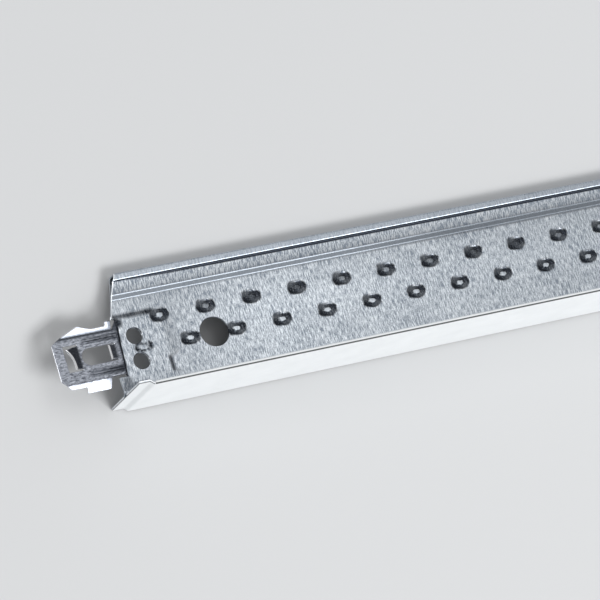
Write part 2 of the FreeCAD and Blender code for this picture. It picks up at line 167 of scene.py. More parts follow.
# Painted shade along the creases over the clip's tail
CREASE_LINE = 0.5
CREASE_END = (0.3, -0.5)
CREASE_SHADE = (0.9, 0.1)
CREASE_DEEPER = (8.0, 13.0)
RIPPLE = (0.87, 0.13)
RIPPLE_WAVES = ((2.3, 0, 0), (3.7, 0, 1))
CORNER_LINE = 0.3
CORNER_SHADE = 0.85
CORNER_SHADE_LOW = (4.7, 5.3)
CORNER_SHADE_HIGH = (9.5, 8.9)
# Painted shadow at the web's edge over the clip, painted shade on the tab and foot below it
COPE_EDGE = 0.12
COPE_SHADOW = 0.9
TAB_SHADE = 0.7
TAB_SHADE_INSET = (4.4, 2.0)
TAB_SHADE_HEIGHT = (6.8, 5.4)
FOOT_SHADE = 0.65
FOOT_SHADE_INSET = (10.0, 6.0)
FOOT_SHADE_HEIGHT = (4.7, 4.1)
# A faint darkening, more near the ends and higher up the web
DARKER_AT_ENDS = 0.23
DARKER_AT_ENDS_INSET = (50.0, 14.0)
DARKER_UP = 0.13
DARKER_UP_HEIGHT = (17.0, 25.0)
# Painted shade in and below the raised band, and a painted dark reflection on its steps, deeper away from
# the ends
BAND_FAR = (60.0, 110.0)
BAND_SHADE = (0.42, 0.18)
STEPS_SHADE = 0.6
BELOW_BAND_SHADE = (0, 0.45, 0.45, 0)
BELOW_BAND_DEEPER = 0.3
# Painted shade on the neck above the band, and a painted shadow under the bulb
NECK_SHADE = (0, 0.5, 0.5, 0.32, 0.08, 0.08)
LEDGE = (-0.45, 0.12)
LEDGE_UPPER = -0.1
LEDGE_INSET = (4.0, 29.0)
LEDGE_SHADOW = 1.1

# Streaks and brightness of the strip, at heights up its section; the band and the bulb are painted darker,
# as painted shade
LOOK_HEIGHTS = (BAND_FOOT - 0.3, BAND_FOOT, NECK_FOOT, NECK_FOOT + 0.3, NECK_TOP - 0.1, NECK_TOP)
STRIP_GRAIN = (1.35, 0.2, 0.2, 2.0, 2.0, 0.45)
STRIP_SHADED_SHINE = (0.5, 0.42, 0.42, 0.5, 0.5, 0.39)
# Buttons show fainter streaks and get a painted highlight
BUTTON_SMOOTH = 0.7
BUTTON_BRIGHT = 0.05
# Painted highlights: on the cut end above the clip, and on the flanges' bare cut edges
CUT_HIGHLIGHT = 0.45
FLANGE_EDGE_HIGHLIGHT = 0.9
WEB_EDGE = 0.45

# Painted shade on the cap
BARE_EDGE_SHADOW = 0.85
BARE_SHORT = 0.15
CAP_SHINE = 0.5

# Clip: X runs from the end of the face into the tee
CLIP = 0.5
CLIP_CORNER = 0.3
PANEL_LOW = 7.0
PANEL_HIGH = 19.1
WING_SLOPE = 1.3 / 2.2
LUG_INSET = 1.3
LUG_SHORT = 0.15
CLIP_OUTLINE = [
    (-15.5, 7.9), (-13.05, 5.8), (-8.9, 5.8), (-8.9, 4.35), (-2.4, 4.35), (-1.9, PANEL_LOW),
    (LUG_INSET, PANEL_LOW), (3.1, TAIL_LOW), (TAIL_END, TAIL_LOW), (TAIL_END, 18.0), (12.1, 18.0),
    (12.1, TAIL_HIGH), (3.1, TAIL_HIGH), (1.5, PANEL_HIGH), (LUG_INSET, PANEL_HIGH), (LUG_INSET, 21.2),
    (-0.3, 21.2), (-0.3, 20.2), (-4.2, 20.2), (-7.9, 21.3), (-12.4, 19.6), (-15.5, 17.9),
]
BEND_SOFT = 0.35
BEND_ROWS = 5
BEND_ROW_START = -16.0
CLIP_HOLE_POINTS = 48
CLIP_GRID = 0.55
CLIP_GRID_X = (-15.2, 14.4)
CLIP_GRID_Z = (4.6, 21.3)

# Its window with the lance, and its keyhole slot with the bent tab
WINDOW = (-12.75, -8.85, 10.1, 17.0)
WINDOW_MARGIN = (0.1, 0.2)
LANCE = (-12.6, -10.9, 10.5, 15.8)
LANCE_ROOT_HIGH = 16.6
LANCE_CURVE = 3
LANCE_POINTS = 9
LANCE_LIFT = 1.3
SLOT = (1.2, 11.0, 15.4)
SLOT_MARGIN = (0.5, 0.1)
EYE = (-6.05, 13.2, 2.3)
EYE_POINTS = 25
TAB = (-0.9, 11.2, 15.2)
TAB_LIFT = 0.6
BENT_CURL = 1.3
BENT_EDGE = 0.1
# Where the painted highlight on the bent free edges gives way to painted shade
BENT_HIGHLIGHT = (0.38, 0.5)
BENT_DOTS = (17, 9)

# Its ribs
RIBS = (8.7, 17.4)
RIB_HALF = 0.85
RIB_PROUD = 0.3
RIB_REACH = -7.2
RIB_ROWS = 9
RIB_ROW_ENDS = (-0.2, 0.7)
RIB_STOP = 0.6

# Painted shade, painted highlights and brightness of the clip
RIB_SHADE = 0.85
RIB_FADE = 0.4
RIB_SIDE = (0.55, 0.2)
RIB_CROWN = (0.6, 0.45)
RIB_END = (0.2, 0.25)
RIB_END_HALF = 0.7
FOLD_LINE = 0.3
FOLD_SHADE = 0.8
LANCE_SHADE = 0.85
BENT_TAB_SHADE = 0.75
WEB_LINE = 0.35
WEB_LINE_SHADOW = 0.9
LUG_SHADE = 0.8
LUG_SHADE_X = (0.1, 0.7)
LUG_BELOW = 0.5
WING_CLEAR = 0.2
WING_GRAIN = 0.2
PANEL_GRAIN = 0.85
PANEL_SHINE = 0.5
# The clip's bare cut edges are painted fully bright, a painted highlight
CLIP_EDGE_HIGHLIGHT = 1.0

# Materials: noise scales are per millimetre of the blank
GALVANISED = {"streaks": (3.3, 0.58, 1.0), "dark": (0.28, 0.325, 0.385), "light": (0.89, 0.945, 1.0),
              "roughness": 0.36}
SPRING_STEEL = {"streaks": (1.0, 2.6, 1.0), "dark": (0.07, 0.078, 0.095), "light": (0.42, 0.445, 0.5),
                "roughness": 0.32}
# Colour of bare steel at the top of the tones, reached by the painted highlights
BARE_STEEL_HIGHLIGHT = (0.97, 0.98, 1.0)
# Dark colour of the painted shade on the steel
STEEL_SHADE = (0.022, 0.026, 0.034)
STEEL_TONES = (0.36, 0.64)
STEEL_ROUGHNESS = (0.35, 0.65, 0.08, -0.06)
STREAK_DETAIL = 2.0
SPECK_SCALE = 2.8
SPECK_SHARE = 0.3
# Specks make the painted shade uneven
SPECKED_SHADE = (0.3, 0.6, 0.85, 1.1)
CLOUD_SCALE = 0.13
CLOUD_SHARE = 0.08
PATCH_SCALE = 0.09
PATCHES = (0.46, 0.62, 0.0, 1.0)
SCORE_SCALE = 0.7
SCORES = (0.5, 0.66, 0.0, -0.12)
STEEL_BUMP = (0.25, 0.00003)
PAINT_CLOUD = 0.12
PAINT_TONES = [(0.3, (0.84, 0.87, 0.89)), (0.7, (0.9, 0.93, 0.95))]
# Dark colour of the painted shade on the paint
PAINT_SHADE = (0.03, 0.033, 0.036)
PAINT_ROUGHNESS = 0.38
PAINT_PEEL = 2.2
PAINT_BUMP = (0.15, 0.00003)
NOISE_ROUGHNESS = 0.6

# Studio, in metres
CAMERA_AT = Vector((-0.62067, 0.05136, 0.85977))
CAMERA_BACK = Vector((-0.40991, 0.05284, 0.91059))
CAMERA_UP = Vector((0.18101, 0.98318, 0.02443))
LENS_MM = 216.0
SENSOR_MM = 36.0
FLOOR_HALF = 3.0
FLOOR_COLOUR = (0.62, 0.63, 0.64, 1)
FLOOR_ROUGHNESS = 0.9
WORLD_COLOUR = (1, 1, 1, 1)
WORLD_STRENGTH = 0.51
LAMPS = (
    ("key", (0.35, -0.85, 1.4), (-0.1, 0, 0), (1.0, 0.6), 19.5),
    ("fill", (0.05, 0.85, 1.6), (-0.1, 0, 0), (0.8, 1.0), 3.9),
    ("side", (-1.6, 0.4, 0.5), (-0.3, 0, 0), (0.5, 0.5), 3.0),
)


# Curves and loops

def smooth(t):
    """Zero below 0, one above 1 and an even curve between."""
    t = np.clip(t, 0, 1)
    return t * t * (3 - 2 * t)


def fade(value, start, full):
    """Zero up to the start, one from where it is full and an even curve between."""
    return smooth((value - start) / (full - start))


def line(distance, half_width):
    """A soft line: one on it, and zero from twice its half width away."""
    return smooth(2 - np.abs(distance) / half_width)


def waves(x, z, kinds):
    """A fixed uneven pattern from -1 to 1, a product of waves."""
    return np.prod([np.sin(along * x + up * z + phase) for along, up, phase in kinds], axis=0)


def arc(centre, radius, start, end, count):
    """Points round part of a circle, angles in degrees."""
    angles = np.radians(np.linspace(start, end, count))
    return np.column_stack((centre[0] + radius * np.cos(angles), centre[1] + radius * np.sin(angles)))


def hole(centre, radius, count):
    """A round hole's loop, clockwise."""
    return arc(centre, radius, 360, 360 / count, count)


def rounded(corners, radius, count=4):
    """A closed loop with its corners rounded as far as its edges allow."""
    corners = np.asarray(corners, float)
    loop = []
    for before, corner, after in zip(np.roll(corners, 1, 0), corners, np.roll(corners, -1, 0)):
        into, out = before - corner, after - corner
        reach = min(radius, CORNER_SHARE * np.linalg.norm(into), CORNER_SHARE * np.linalg.norm(out))
        start = corner + into / np.linalg.norm(into) * reach
        end = corner + out / np.linalg.norm(out) * reach
        for t in np.linspace(0, 1, count):
            loop.append((1 - t) ** 2 * start + 2 * t * (1 - t) * corner + t**2 * end)
    return np.array(loop)


def set_in(loop, distance):
    """The loop moved to its left, which is into the sheet."""
    before = loop - np.roll(loop, 1, 0)
    after = np.roll(loop, -1, 0) - loop
    first = np.column_stack((-before[:, 1], before[:, 0])) / np.linalg.norm(before, axis=1)[:, None]
    second = np.column_stack((-after[:, 1], after[:, 0])) / np.linalg.norm(after, axis=1)[:, None]
    mitre = (first + second) / np.maximum(1 + (first * second).sum(1), MITRE_LIMIT)[:, None]
    return loop + distance * mitre


def inside(points, loop):
    """Which points a closed loop surrounds."""
    found = np.zeros(len(points), bool)
    near = ((points > loop.min(0)) & (points < loop.max(0))).all(1)
    x, y = points[near].T
    result = np.zeros(len(x), bool)
    for (ax, ay), (bx, by) in zip(loop, np.roll(loop, -1, 0)):
        if ay != by:
            crosses = (ay > y) != (by > y)
            result ^= crosses & (x < ax + (y - ay) / (by - ay) * (bx - ax))
    found[near] = result
    return found


# Sheet metal

def cut_blank(outline, holes, rows, dots):
    """A flat sheet as points and triangles. Rows stay straight edges, and dots are further points."""
    points, edges = [], []
    for loop in [outline] + holes:
        for ring in (loop, set_in(loop, CHAMFER)):
            first = len(points)
            points.extend(ring)
            edges.extend((first + i, first + (i + 1) % len(ring)) for i in range(len(ring)))
    for start, end in rows:
        edges.append((len(points), len(points) + 1))
        points.extend((start, end))
    points.extend(dots)
    made = delaunay_2d_cdt([Vector(p) for p in points], edges, [], 0, MERGE, False)
    flat = np.array([tuple(p) for p in made[0]])
    triangles = np.array(made[2])
    middles = flat[triangles].mean(1)
    keep = inside(middles, outline)
    for loop in holes:
        keep &= ~inside(middles, loop)
    used, triangles = np.unique(triangles[keep], return_inverse=True)
    return flat[used], triangles.reshape(-1, 3)


def surface_normals(shape, flat):
    """Normals of a folded sheet, from two small steps on the flat blank."""
    step = 0.01
    along = shape(flat + (step, 0)) - shape(flat - (step, 0))
    across = shape(flat + (0, step)) - shape(flat - (0, step))
    normals = np.cross(along, across)
    return normals / np.linalg.norm(normals, axis=1)[:, None]


def open_edges(triangles):
    """The edges that only one triangle has, in its direction."""
    edges = np.concatenate([triangles[:, [i, (i + 1) % 3]] for i in range(3)])
    key = np.sort(edges, axis=1)
    _, first, count = np.unique(key, axis=0, return_index=True, return_counts=True)
    return edges[first[count == 1]]


def keep_look(mesh, flat, rim, look):
    """Stores on the points what the material needs.

    That is their place on the blank, how far they are darkened, mostly as painted shade
    (shade_and_darkening), how strongly they show the streaks (grain) and how bright they are without them
    (shine), which also holds painted highlights and painted shade. Cut edges have no streaks, and a
    brightness of their own (edge), on some a painted highlight.
    """
    front = np.column_stack((flat, np.zeros(len(flat))))
    place = mesh.attributes.new("blank", "FLOAT_VECTOR", "POINT")
    place.data.foreach_set("vector", np.concatenate((front, front + (0, 0, 1))).ravel())
    edge = look.pop("edge")
    look["grain"][rim] = 0
    look["shine"][rim] = edge[rim]
    for key, amount in look.items():
        mesh.attributes.new(key, "FLOAT", "POINT").data.foreach_set("value", np.tile(amount, 2))


def fold_sheet(name, blank, shape, above, below, finish):
    """A sheet of metal from its flat blank: both faces and its cut edges."""
    flat, triangles = blank
    rim = open_edges(triangles)
    trim = np.zeros(len(flat))
    trim[np.unique(rim)] = CHAMFER
    base, normals = shape(flat), surface_normals(shape, flat)
    front = base + (above - trim)[:, None] * normals
    back = base + (below + trim)[:, None] * normals
    count = len(flat)
    a, b = rim.T
    walls = np.column_stack((b, a, a + count, b + count))
    faces = triangles.tolist() + (triangles[:, ::-1] + count).tolist() + walls.tolist()
    mesh = bpy.data.meshes.new(name)
    mesh.from_pydata((np.concatenate((front, back)) * MM).tolist(), [], faces)
    keep_look(mesh, flat, rim, finish(flat))
    mesh.shade_smooth()
    mesh.set_sharp_from_angle(angle=math.radians(SHARP_ANGLE))
    return mesh


def tee_frame():
    """The tee's upright frame as it lies: the record's painted face is its origin."""
    face = next(m for m in frame["record"]["mounts"] if m["name"] == "painted_face")
    up = -Vector(face["axis"]).normalized()
    along = Vector((1, 0, 0))
    through = up.cross(along)
    turn = Matrix((along, through, up)).transposed().to_4x4()
    return Matrix.Translation(Vector(face["pos_m"])) @ turn


def place_piece(name, mesh, node, material, place=Matrix.Identity(4)):
    """Lays a piece where its CAD node is and gives it its material."""
    mesh.transform(tee_frame() @ place)
    piece = bpy.data.objects.new(name, mesh)
    bpy.context.scene.collection.objects.link(piece)
    mesh.materials.append(material)
    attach(piece, "root")
    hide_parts(node)


def lengths_of(path):
    """How far along a path each of its points is."""
    return np.concatenate(([0], np.cumsum(np.linalg.norm(np.diff(path, axis=0), axis=1))))


def section_at(run, lengths, path):
    """Where a run on the blank is on the folded section, through and up."""
    return np.interp(run, lengths, path[:, 0]), np.interp(run, lengths, path[:, 1])


def joggle(inset):
    """How far the ends of the face are raised."""
    return TONGUE_RISE * fade(inset, TONGUE + TONGUE_RAMP + RAMP_SOFT, TONGUE - RAMP_SOFT)


def ramp_rows(end, first, last):
    """Straight edges across a blank where the end of the face is raised, between two runs."""
    insets = np.linspace(TONGUE - RAMP_SOFT, TONGUE + TONGUE_RAMP + RAMP_SOFT, RAMP_ROWS)
    places = [end * (HALF_FACE - inset) for inset in insets]
    return [((x, first), (x, last)) for x in places]


def long_rows(lengths):
    """Straight edges along a whole blank, and points spaced evenly on them."""
    far = HALF_FACE + BEYOND
    rows = [((-far, run), (far, run)) for run in lengths[1:-1]]
    last = HALF_FACE - COLUMN_INSET
    columns = np.linspace(-last, last, int(2 * HALF_FACE / COLUMN))
    return rows, [(x, run) for run in lengths for x in columns]


# Section of the strip

def step_out(across, foot):
    """A soft step of the section away from the web."""
    rise = np.linspace(0, 1, STEP_POINTS)
    return np.column_stack((across - STEP_OUT * smooth(rise), foot + STEP_RISE * rise))


def neck(height):
    """The section's point at a height on the sloped neck."""
    foot = -STRIP - 2 * STEP_OUT
    share = (height - NECK_FOOT) / (NECK_TOP - NECK_FOOT)
    return foot + (-NECK_WIDTH / 2 - foot) * share, height


def strip_path():
    """The strip's outer side, from the front flange's edge over the bulb to the rear flange's edge."""
    web = -STRIP
    flange_top = CAP + STRIP
    bulb = BULB_WIDTH / 2 - BULB_CORNER
    front = np.array([
        (-FACE_WIDTH / 2 + CAP, flange_top),
        *arc((web - ROOT_RADIUS, flange_top + ROOT_RADIUS), ROOT_RADIUS, -90, 0, ROOT_POINTS),
        *[(web, BAND_FOOT - drop) for drop in SHADE_BELOW_BAND],
        *step_out(web, BAND_FOOT),
        *step_out(web - STEP_OUT, NECK_FOOT - STEP_RISE),
        *[neck(NECK_FOOT + rise) for rise in SHADE_ABOVE_BAND],
        *[neck(NECK_TOP - drop) for drop in SHADE_BELOW_BULB],
        (-NECK_WIDTH / 2, NECK_TOP - UNDER_BULB),
        (-NECK_WIDTH / 2 - UNDER_BULB, NECK_TOP),
        *arc((-bulb, NECK_TOP + BULB_CORNER), BULB_CORNER, 270, 180, BULB_POINTS),
        *arc((-bulb, TEE_HEIGHT - BULB_CORNER), BULB_CORNER, 180, 90, BULB_POINTS),
    ])
    return np.concatenate((front, front[::-1] * (-1, 1)))


PATH = strip_path()
RUN = lengths_of(PATH)
WEB_ROW = ROOT_POINTS
WEB_RUN = RUN[WEB_ROW] - PATH[WEB_ROW, 1]


def web_run(height, side):
    """Where a height on the web is on the blank: side -1 is the front layer, 1 the rear one."""
    run = WEB_RUN + height
    return run if side < 0 else RUN[-1] - run


def path_run(height, side):
    """Where a height from the web up to the bulb's top is on the blank."""
    rows = slice(WEB_ROW, len(PATH) // 2)
    run = np.interp(height, PATH[rows, 1], RUN[rows])
    return run if side < 0 else RUN[-1] - run


def on_web(through):
    """If a place on the folded section is on one of the web's flat layers."""
    return np.abs(through) < STRIP + NEAR


def cut_end(inset, run):
    """How far a place on the blank is from the cut end above the clip."""
    (low_inset, low), (high_inset, high) = COPE[2:]
    nearer = np.minimum(run, RUN[-1] - run)
    ends = path_run(low, -1), path_run(high, -1)
    return np.where(nearer > ends[0], inset - np.interp(nearer, ends, (low_inset, high_inset)), FAR_OFF)


def cope_distance(inset, height):
    """How far a place is along the web from the end that stands over the clip."""
    (low_inset, low), (high_inset, high) = COPE[:2]
    slope = (high_inset - low_inset) / (high - low)
    beside = (height > low - COPE_MARGIN[0]) & (height < high + COPE_MARGIN[1])
    return np.where(beside, inset - low_inset - slope * (height - low), FAR_OFF)


# Stitches and creases of the web

def stitch_places():
    """Centres of the stitches, along and up the web."""
    start = STITCH_INSET - HALF_FACE
    lower = [(start + i * STITCH_STEP, STITCH_LOW) for i in range(STITCH_STEPS + 1)]
    upper = [(start + (i + 0.5) * STITCH_STEP, STITCH_HIGH) for i in range(STITCH_STEPS)]
    return np.array(lower + upper)


def nearest_stitch(along, height):
    """The nearest stitch to a point.

    Gives the point's offsets from its centre in halves of its size, if it is in the upper row, its
    number in its row, and if it is the first or last there.
    """
    start = STITCH_INSET - HALF_FACE
    upper = height > (STITCH_LOW + STITCH_HIGH) / 2
    shift = np.where(upper, 0.5, 0.0)
    last = np.where(upper, STITCH_STEPS - 1, STITCH_STEPS)
    index = np.clip(np.round((along - start) / STITCH_STEP - shift), 0, last)
    offset = (along - start - (index + shift) * STITCH_STEP) / STITCH_HALF[0]
    rise = (height - np.where(upper, STITCH_HIGH, STITCH_LOW)) / STITCH_HALF[1]
    return offset, rise, upper, index, (index == 0) | (index == last)


def rim_reach(across, up):
    """How far out a point is in a stitch, which is a rounded square with one corner cut."""
    square = (np.abs(across) ** STITCH_SQUARE + np.abs(up) ** STITCH_SQUARE) ** (1 / STITCH_SQUARE)
    return np.maximum(square, (across - up) / STITCH_CUT)


def stitch_reach(along, height):
    """A point's place across and up in the nearest stitch, and its reach.

    The lower row's first and last stitch anchor a clip. They are flatter, with a wide button.
    """
    offset, rise, upper, _, at_end = nearest_stitch(along, height)
    anchor = at_end & ~upper
    rise = np.where(anchor, ANCHOR_FLATTER, 1) * rise
    across = offset - STITCH_SKEW * rise
    up = rise + STITCH_TILT * offset
    reach = rim_reach(across, up)
    return across, up, np.where(anchor, np.interp(reach, ANCHOR_REACH, PLAIN_REACH), reach)


def deeper_corners(amounts, across, up):
    """An even amount in a stitch, with more in two opposite corners and less in the others."""
    even, added = amounts
    return even + added * np.tanh(CORNER_TURN * across * up)


def stitch_press(along, height):
    """A ring pressed into the web round a raised button, deepest at two opposite corners."""
    across, up, reach = stitch_reach(along, height)
    ring = fade(reach, *STITCH_WALL) * deeper_corners(STITCH_CORNERS, across, up)
    return STITCH_DEPTH * ring - BUTTON_RISE * fade(reach, *BUTTON_WALL)


def stitch_spokes():
    """Points round a stitch's rim, from its centre."""
    angles = np.linspace(0, 2 * math.pi, STITCH_SPOKES, endpoint=False)
    across, up = np.array((np.cos(angles), np.sin(angles))) / rim_reach(np.cos(angles), np.sin(angles))
    offset = (across + STITCH_SKEW * up) / (1 + STITCH_SKEW * STITCH_TILT)
    return np.column_stack((offset * STITCH_HALF[0], (up - STITCH_TILT * offset) * STITCH_HALF[1]))


def tail_bulge(inset, height):
    """How far each layer of the web stands out over the clip's tail.

    It ends in a crease above the tail and in a short one at its lower corner, and fades elsewhere.
    """
    at_corner = fade(height, *CORNER_CREASE_LOW) * fade(height, *CORNER_CREASE_HIGH)
    width = TAIL_FADE + (CREASE - TAIL_FADE) * at_corner
    over = fade(height, TAIL_HIGH + CREASE, TAIL_HIGH) * fade(height, TAIL_LOW - TAIL_FADE, TAIL_LOW)
    return CLIP / 2 * over * fade(inset, TAIL_END + width, TAIL_END)


def notch_dent(inset, height):
    """One in the middle of the small dent beside the cope's upper corner, and zero round it."""
    along, up, radius = NOTCH
    return smooth(NOTCH_EDGE - np.hypot(inset - along, height - up) / radius)


# Folded strip

def strip_shape(flat):
    """The strip folded from its blank, with its ends raised and its web pressed."""
    x, run = flat.T
    y, z = section_at(run, RUN, PATH)
    inset = HALF_FACE - np.abs(x)
    side = np.where(run < RUN[-1] / 2, -1, 1)
    raised = joggle(inset) * np.clip((JOGGLE_TOP - z) / (JOGGLE_TOP - CAP - STRIP - ROOT_RADIUS), 0, 1)
    bulge = tail_bulge(inset, z) - NOTCH_DEPTH * notch_dent(inset, z)
    pressed = np.where(on_web(y), side * bulge + stitch_press(x, z), 0)
    return np.column_stack((x, y + pressed, z + raised))


def button_highlight(x, z):
    """How bright the nearest stitch's button is painted, a painted highlight. Most of the upper row's are
    dull.
    """
    _, _, upper, index, at_end = nearest_stitch(x, z)
    even, added, turn = UPPER_BUTTON
    upper_button = np.where(at_end, UPPER_END_BUTTON, even + added * np.cos(turn * index))
    return np.where(upper, upper_button, np.where(at_end, ANCHOR_BUTTON, LOWER_BUTTON))


def stitch_shade(x, z):
    """Painted shade in the stitches' pressed rings, with ragged edges, and the painted highlight on their
    buttons.
    """
    across, up, reach = stitch_reach(x, z)
    reach = reach + RAGGED * waves(x, z, RAGGED_WAVES)
    button = button_highlight(x, z) * fade(reach, *BUTTON_HIGHLIGHT)
    ring = fade(reach, *RING_FADE) * deeper_corners(RING_CORNERS, across, up)
    return ring * (1 - button), button


def crease_shade(x, z, inset):
    """Painted shade along the crease above the clip's tail and the short one at its lower corner."""
    start, full = CREASE_END
    upper = line(z - TAIL_HIGH - CREASE / 2, CREASE_LINE) * fade(inset, TAIL_END + start, TAIL_END + full)
    upper = upper * (CREASE_SHADE[0] + CREASE_SHADE[1] * fade(inset, *CREASE_DEEPER))
    upper = upper * (RIPPLE[0] + RIPPLE[1] * waves(x, z, RIPPLE_WAVES))
    corner = line(inset - TAIL_END - CREASE / 2, CORNER_LINE)
    corner = corner * fade(z, *CORNER_SHADE_LOW) * fade(z, *CORNER_SHADE_HIGH)
    return np.maximum(upper, CORNER_SHADE * corner)


def end_shade(z, inset):
    """Painted shade at the web's end: a painted shadow along its edge over the clip, and painted shade in
    the dent beside that and on the tab and foot below.
    """
    edge = COPE_SHADOW * (np.abs(cope_distance(inset, z)) < COPE_EDGE)
    tab = TAB_SHADE * fade(inset, *TAB_SHADE_INSET) * fade(z, *TAB_SHADE_HEIGHT)
    foot = FOOT_SHADE * fade(inset, *FOOT_SHADE_INSET) * fade(z, *FOOT_SHADE_HEIGHT)
    return np.maximum.reduce([edge, notch_dent(inset, z), tab, foot])


def web_darkening(z, inset):
    """A faint darkening, more near the ends and higher up the web."""
    ends = 1 - DARKER_AT_ENDS * fade(inset, *DARKER_AT_ENDS_INSET)
    return 1 - ends * (1 - DARKER_UP * fade(z, *DARKER_UP_HEIGHT))


def band_shade(z, inset):
    """Painted shade in the raised band, on its steps and on the web below it, deeper away from the ends; on
    the steps it is a painted dark reflection.
    """
    far = fade(inset, *BAND_FAR)
    in_band = (z > BAND_FOOT + STEP_RISE - NEAR) & (z < NECK_FOOT - STEP_RISE + NEAR)
    on_steps = (z > BAND_FOOT - NEAR) & (z < NECK_FOOT + NEAR) & ~in_band
    heights = BAND_FOOT - np.array((*SHADE_BELOW_BAND, 0))
    below = np.interp(z, heights, BELOW_BAND_SHADE) * (1 + BELOW_BAND_DEEPER * far)
    return in_band * (BAND_SHADE[0] + BAND_SHADE[1] * far) + on_steps * STEPS_SHADE * far + below


def neck_shade(z, inset):
    """Painted shade on the neck, more of it just above the band, and a painted shadow in the corner under
    the bulb.
    """
    feet = NECK_FOOT + np.array((0, *SHADE_ABOVE_BAND))
    on_neck = np.interp(z, (*feet, NECK_TOP - SHADE_BELOW_BULB[0], NECK_TOP), NECK_SHADE) * (z < NECK_TOP)
    ledge = (z > NECK_TOP + LEDGE[0]) & (z < NECK_TOP + LEDGE[1])
    ledge = ledge * np.where(z < NECK_TOP + LEDGE_UPPER, fade(inset, *LEDGE_INSET), 1)
    return np.maximum(on_neck, LEDGE_SHADOW * ledge)


def strip_finish(flat):
    """Painted shade, a faint darkening, streaks and brightness of the strip.

    Streaks are strong on the web and the neck, and faint on the band, the bulb and the buttons.
    The cut end above the clip is free of shade, and it and the flanges' cut edges get a painted highlight.
    """
    x, run = flat.T
    y, z = section_at(run, RUN, PATH)
    inset = HALF_FACE - np.abs(x)
    ring, button = stitch_shade(x, z)
    button = np.where(on_web(y), button, 0)
    faint_dark = web_darkening(z, inset) * (1 - button)
    web = np.maximum.reduce([ring, crease_shade(x, z, inset), end_shade(z, inset), faint_dark])
    shade_and_darkening = np.maximum.reduce([np.where(on_web(y), web, 0), band_shade(z, inset), neck_shade(z, inset)])
    cut = fade(cut_end(inset, run), *CUT_HIGHLIGHT_WIDTH[::-1])
    return {
        "shade_and_darkening": shade_and_darkening * (1 - cut),
        "grain": np.interp(z, LOOK_HEIGHTS, STRIP_GRAIN) * (1 - BUTTON_SMOOTH * button) * (1 - cut),
        "shine": np.interp(z, LOOK_HEIGHTS, STRIP_SHADED_SHINE) + BUTTON_BRIGHT * button + CUT_HIGHLIGHT * cut,
        "edge": np.where(z < CAP + STRIP + NEAR, FLANGE_EDGE_HIGHLIGHT, WEB_EDGE),
    }


def strip_outline():
    """The blank's outline, counter-clockwise, with both ends coped."""
    front = [(0, 0), (0, path_run(COPE[0][1], -1))]
    front += [(inset, path_run(height, -1)) for inset, height in COPE]
    rear = [(inset, RUN[-1] - run) for inset, run in front[::-1]]
    left = np.array([(inset - HALF_FACE, run) for inset, run in front + rear])
    right = left * (-1, 1)
    return np.concatenate((right, left[::-1]))


def stitch_dots(side):
    """Points of every stitch on one layer: its centre, and rings out past its rim."""
    spokes = stitch_spokes() * (1, -side)
    dots = []
    for x, height in stitch_places():
        centre = np.array((x, web_run(height, side)))
        dots.append(centre)
        for ring in STITCH_RINGS:
            dots.extend(centre + spokes * ring)
    return dots


def crease_dots(side, end):
    """A fine grid of points round the clip's tail, clear of the stitches."""
    dots = []
    for inset in np.arange(*CREASE_INSETS, CREASE_GRID):
        for height in np.arange(*CREASE_HEIGHTS, CREASE_GRID):
            x = end * (HALF_FACE - inset)
            if stitch_reach(x, height)[2] > CREASE_CLEAR:
                dots.append((x, web_run(height, side)))
    return dots


def web_holes(side, end):
    """The round holes near one end of one layer."""
    holes = []
    for inset, height, radius in (ROUTE_HOLE,) + STAKE_HOLES:
        holes.append(hole((end * (HALF_FACE - inset), web_run(height, side)), radius, WEB_HOLE_POINTS))
    return holes


def cut_end_row(side, end, offset):
    """A straight edge beside the cut end above the clip."""
    return [(end * (HALF_FACE - inset - offset), path_run(height, side)) for inset, height in COPE[2:]]


def strip_blank():
    """The strip's flat blank: both layers, with the bulb between them and a flange at each edge."""
    rows, dots = long_rows(RUN)
    holes = []
    for side in (-1, 1):
        past_flange = RUN[0] - BEYOND if side < 0 else RUN[-1] + BEYOND
        dots += stitch_dots(side)
        for end in (-1, 1):
            holes += web_holes(side, end)
            dots += crease_dots(side, end)
            rows += [cut_end_row(side, end, offset) for offset in CUT_HIGHLIGHT_WIDTH]
            rows += ramp_rows(end, web_run(RAMP_ROW_TOP, side), past_flange)
    return cut_blank(strip_outline(), holes, rows, dots)


# Painted cap

def hem_crease(angle):
    """One in the crease beside a hem, and zero on the face and round the rest of the hem."""
    return fade(np.abs(angle - HEM_CREASE) / HEM_CREASE_HALF, *HEM_CREASE_FADE)


def cap_path():
    """The cap's outer side, from the rear hem round the face to the front hem."""
    edge = FACE_WIDTH / 2 - HEM_RADIUS
    angles = np.linspace(90, -90, HEM_POINTS)
    radii = HEM_RADIUS - HEM_CREASE_DEPTH * hem_crease(angles)
    hem = np.column_stack((np.cos(np.radians(angles)), np.sin(np.radians(angles)))) * radii[:, None]
    rear = np.concatenate(([(FACE_WIDTH / 2 - HEM_RETURN, 2 * HEM_RADIUS)], hem + (edge, HEM_RADIUS)))
    return np.concatenate((rear, rear[::-1] * (-1, 1)))


CAP_PATH = cap_path()
CAP_RUN = lengths_of(CAP_PATH)


def cap_shape(flat):
    """The cap folded from its blank, with its ends raised."""
    x, run = flat.T
    y, z = section_at(run, CAP_RUN, CAP_PATH)
    return np.column_stack((x, y, z + joggle(HALF_FACE - np.abs(x))))


